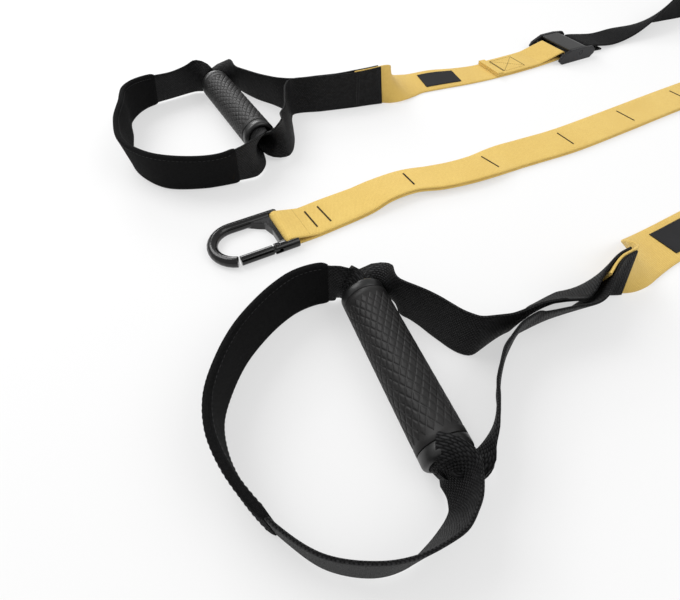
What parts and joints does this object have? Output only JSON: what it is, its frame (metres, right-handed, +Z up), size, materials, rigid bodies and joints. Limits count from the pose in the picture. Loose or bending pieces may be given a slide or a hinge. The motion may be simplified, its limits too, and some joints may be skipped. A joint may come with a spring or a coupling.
{
  "type": "suspension trainer",
  "caption": "Yellow webbing anchor strap on a black carabiner, with adjustable strap legs that end in rubber hand grips and padded foot loops, lying on a floor",
  "frame": {"origin": "middle of the flat underside of the carabiner's crossbar, at the floor", "axes": "+X along the anchor strap away from the carabiner, +Z up from the floor, +Y towards the far leg"},
  "size_m": [0.9893, 0.5249, 0.0413],
  "materials": {
    "yellow_webbing": "woven yellow webbing with dark bar tacks",
    "black_webbing": "coarse woven black webbing",
    "pad_fabric": "matt black padded sleeve",
    "label_patch": "plain black sewn patch",
    "grip_rubber": "black rubber with a diamond pattern",
    "grip_plastic": "smooth black plastic",
    "black_plastic": "smooth black plastic",
    "carabiner_gloss": "glossy black coating",
    "dark_metal": "satin black metal"
  },
  "bodies": {
    "anchor": {"anchor_strap": "yellow_webbing"},
    "carabiner": {"carabiner_frame": "carabiner_gloss", "gate_pin": "dark_metal"},
    "gate": {"carabiner_gate": "carabiner_gloss"},
    "link": {"link": "dark_metal"},
    "upper": {"upper_strap": "black_webbing"},
    "far_buckle": {"far_buckle_frame": "dark_metal", "far_lever_pin": "dark_metal"},
    "far_lever": {"far_cam_lever": "black_plastic"},
    "far_leg": {"far_adjustment_strap": "yellow_webbing", "far_label": "label_patch", "far_triangle_webbing": "black_webbing", "far_cradle_webbing": "black_webbing", "far_cradle_pad": "pad_fabric"},
    "far_grip": {"far_grip_core": "grip_plastic", "far_grip_sleeve": "grip_rubber", "far_upper_cap": "grip_plastic", "far_lower_cap": "grip_plastic"},
    "near_buckle": {"near_buckle_frame": "dark_metal", "near_lever_pin": "dark_metal"},
    "near_lever": {"near_cam_lever": "black_plastic"},
    "near_leg": {"near_adjustment_strap": "yellow_webbing", "near_label": "label_patch", "near_triangle_webbing": "black_webbing", "near_cradle_webbing": "black_webbing", "near_cradle_pad": "pad_fabric"},
    "near_grip": {"near_grip_core": "grip_plastic", "near_grip_sleeve": "grip_rubber", "near_upper_cap": "grip_plastic", "near_lower_cap": "grip_plastic"}
  },
  "joints": [
    {"name": "carabiner_swing", "type": "hinge", "parent": "anchor", "child": "carabiner", "pos_m": [0.0069, 0, 0.0047], "axis": [0, 1, 0], "range_deg": [0, 60]},
    {"name": "gate_hinge", "type": "hinge", "parent": "carabiner", "child": "gate", "pos_m": [-0.0055, -0.01912, 0.0044], "axis": [0, 0, -1], "range_deg": [0, 18], "stiffness_Nm_per_rad": 0.05},
    {"name": "link_swing", "type": "hinge", "parent": "anchor", "child": "link", "pos_m": [0.5869, 0, 0.0053], "axis": [0, -1, 0], "range_deg": [0, 45]},
    {"name": "upper_swing", "type": "hinge", "parent": "link", "child": "upper", "pos_m": [0.6089, 0, 0.0053], "axis": [0, -1, 0], "range_deg": [0, 40]},
    {"name": "far_buckle_swing", "type": "hinge", "parent": "upper", "child": "far_buckle", "pos_m": [0.4805, 0.149, 0.0068], "axis": [0, 1, 0], "range_deg": [0, 45]},
    {"name": "far_lever_press", "type": "hinge", "parent": "far_buckle", "child": "far_lever", "pos_m": [0.461, 0.149, 0.0096], "axis": [0, -1, 0], "range_deg": [0, 10], "stiffness_Nm_per_rad": 0.1},
    {"name": "far_leg_swing", "type": "hinge", "parent": "far_buckle", "child": "far_leg", "pos_m": [0.439, 0.149, 0.0068], "axis": [0, 1, 0], "range_deg": [0, 45]},
    {"name": "far_grip_spin", "type": "hinge", "parent": "far_leg", "child": "far_grip", "pos_m": [0.0345, 0.1785, 0.0155], "axis": [-0.0262, 0.9997, 0], "continuous": true},
    {"name": "near_buckle_swing", "type": "hinge", "parent": "upper", "child": "near_buckle", "pos_m": [0.5005, -0.15, 0.0068], "axis": [0, 1, 0], "range_deg": [0, 45]},
    {"name": "near_lever_press", "type": "hinge", "parent": "near_buckle", "child": "near_lever", "pos_m": [0.481, -0.15, 0.0096], "axis": [0, -1, 0], "range_deg": [0, 10], "stiffness_Nm_per_rad": 0.1},
    {"name": "near_leg_swing", "type": "hinge", "parent": "near_buckle", "child": "near_leg", "pos_m": [0.459, -0.15, 0.0068], "axis": [0, 1, 0], "range_deg": [0, 45]},
    {"name": "near_grip_spin", "type": "hinge", "parent": "near_leg", "child": "near_grip", "pos_m": [0.01535, -0.1605, 0.0155], "axis": [0.1331, 0.9911, 0], "continuous": true}
  ]
}
